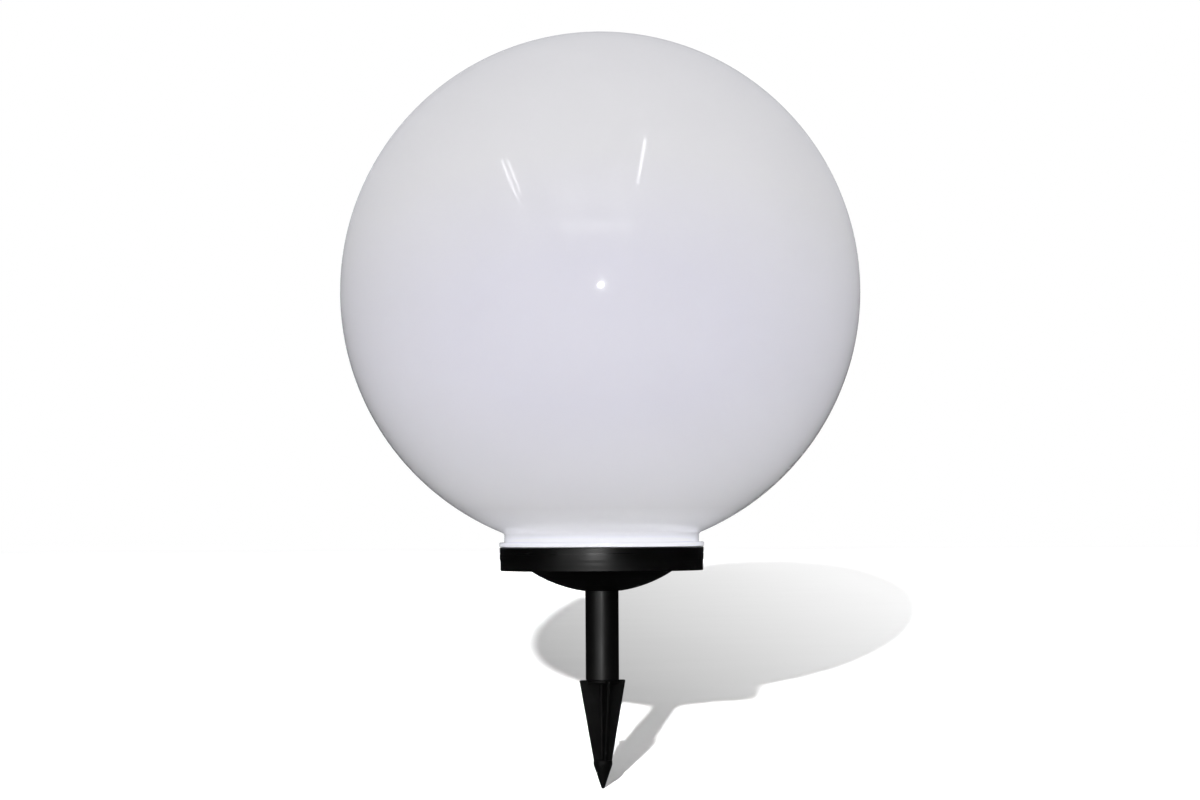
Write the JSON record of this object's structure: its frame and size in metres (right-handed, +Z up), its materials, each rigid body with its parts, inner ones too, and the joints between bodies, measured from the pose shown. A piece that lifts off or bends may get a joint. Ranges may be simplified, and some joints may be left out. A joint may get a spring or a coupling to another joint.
{
  "type": "path light",
  "caption": "Solar ball path light: an opal globe screwed onto a round black base, on a short pole with a ground spike.",
  "frame": {"origin": "tip of the ground spike, on the light's upright axis", "axes": "+Z up along the pole towards the globe; -Y is the side that the picture sees; +X to its right"},
  "size_m": [0.4999, 0.5, 0.7264],
  "materials": {
    "opal_plastic": "glossy opal white moulding",
    "black_shell": "black moulding with fine tool marks",
    "black_pole": "satin black extrusion",
    "black_spike": "satin black moulding with parting lines",
    "black_fitting": "black moulding",
    "button_plastic": "dark grey moulding",
    "rubber_black": "matte rubber",
    "screw_steel": "zinc-plated steel",
    "contact_steel": "nickel-plated spring steel",
    "board_green": "coated circuit board",
    "chip_black": "matte resin",
    "solar_cell_blue": "dark blue silicon with thin fingers",
    "clear_cover": "clear moulding",
    "diode_resin": "clear yellowish resin",
    "cell_wrap": "shrunk sleeve",
    "coil_copper": "enamelled copper wire",
    "capacitor_can": "drawn can",
    "wire_cover": "insulated wire"
  },
  "bodies": {
    "ground": {"ground_spike": "black_spike"},
    "pole": {"pole_tube": "black_pole"},
    "base": {"battery_box": "black_fitting", "battery_cell_far": "cell_wrap", "battery_cell_near": "cell_wrap", "battery_contacts": "contact_steel", "battery_cover": "black_fitting", "battery_screws": "screw_steel", "battery_wires": "wire_cover", "control_board": "board_green", "control_capacitors": "capacitor_can", "control_chip": "chip_black", "control_coil": "coil_copper", "control_screws": "screw_steel", "housing_screws": "screw_steel", "housing_seal": "rubber_black", "lamp_board": "board_green", "lamp_cover": "clear_cover", "lamp_cover_screws": "screw_steel", "lamp_diodes": "diode_resin", "lamp_screws": "screw_steel", "lamp_seal": "rubber_black", "lamp_wires": "wire_cover", "lower_housing": "black_shell", "panel_wires": "wire_cover", "solar_board_front": "board_green", "solar_board_rear": "board_green", "solar_cells_front": "solar_cell_blue", "solar_cells_rear": "solar_cell_blue", "solar_window_front": "clear_cover", "solar_window_rear": "clear_cover", "switch_body": "black_fitting", "switch_nut": "black_fitting", "switch_seal": "rubber_black", "switch_spring": "contact_steel", "switch_wires": "wire_cover", "upper_housing": "black_shell"},
    "gasket": {"globe_seal": "rubber_black"},
    "ball": {"globe": "opal_plastic"},
    "button": {"switch_button": "button_plastic"}
  },
  "joints": [
    {"name": "pole_lift", "type": "slide", "parent": "ground", "child": "pole", "axis": [0, 0, 1], "range_m": [0, 0.036]},
    {"name": "base_lift", "type": "slide", "parent": "pole", "child": "base", "axis": [0, 0, 1], "range_m": [0, 0.037]},
    {"name": "globe_turn", "type": "hinge", "parent": "base", "child": "gasket", "pos_m": [0, 0, 0.2314], "axis": [0, 0, 1], "range_deg": [0, 90]},
    {"name": "globe_rise", "type": "slide", "parent": "gasket", "child": "ball", "axis": [0, 0, 1], "range_m": [0, 0.0076]},
    {"name": "button_press", "type": "slide", "parent": "base", "child": "button", "axis": [0, 0, 1], "range_m": [0, 0.0015], "stiffness_N_per_m": 300, "springref_m": -0.002, "deforming": ["switch_spring"]}
  ],
  "couplings": [
    {"joint": "globe_rise", "follows": "globe_turn", "m_per_rad": 0.0047746}
  ]
}
